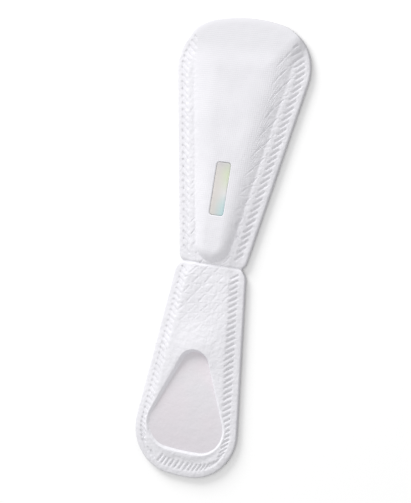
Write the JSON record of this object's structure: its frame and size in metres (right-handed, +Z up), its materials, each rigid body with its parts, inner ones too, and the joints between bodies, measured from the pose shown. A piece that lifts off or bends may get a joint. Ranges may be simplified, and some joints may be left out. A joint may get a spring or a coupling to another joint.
{
  "type": "lateral flow cassette",
  "caption": "Flat two-lobed paper test case with a reading window over a strip on a raised hump, a teardrop sampling opening over an absorbent pad, and a creased waist.",
  "frame": {"origin": "middle of the case's outline, on the flat back that it rests on", "axes": "+X across the case, +Y along it from the sampling end to the wide window end, +Z up out of the front"},
  "size_m": [0.0428, 0.14, 0.0042],
  "materials": {
    "case_paper": "matte",
    "clear_film": "gloss",
    "strip_card": "matte",
    "strip_membrane": "matte",
    "pad_fibre": "matte"
  },
  "bodies": {
    "root": {"front_ply": "case_paper", "back_ply": "case_paper", "window_film": "clear_film", "backing_card": "strip_card", "membrane": "strip_membrane", "conjugate_pad": "pad_fibre", "collection_pad": "pad_fibre", "wick_pad": "pad_fibre"}
  },
  "joints": []
}
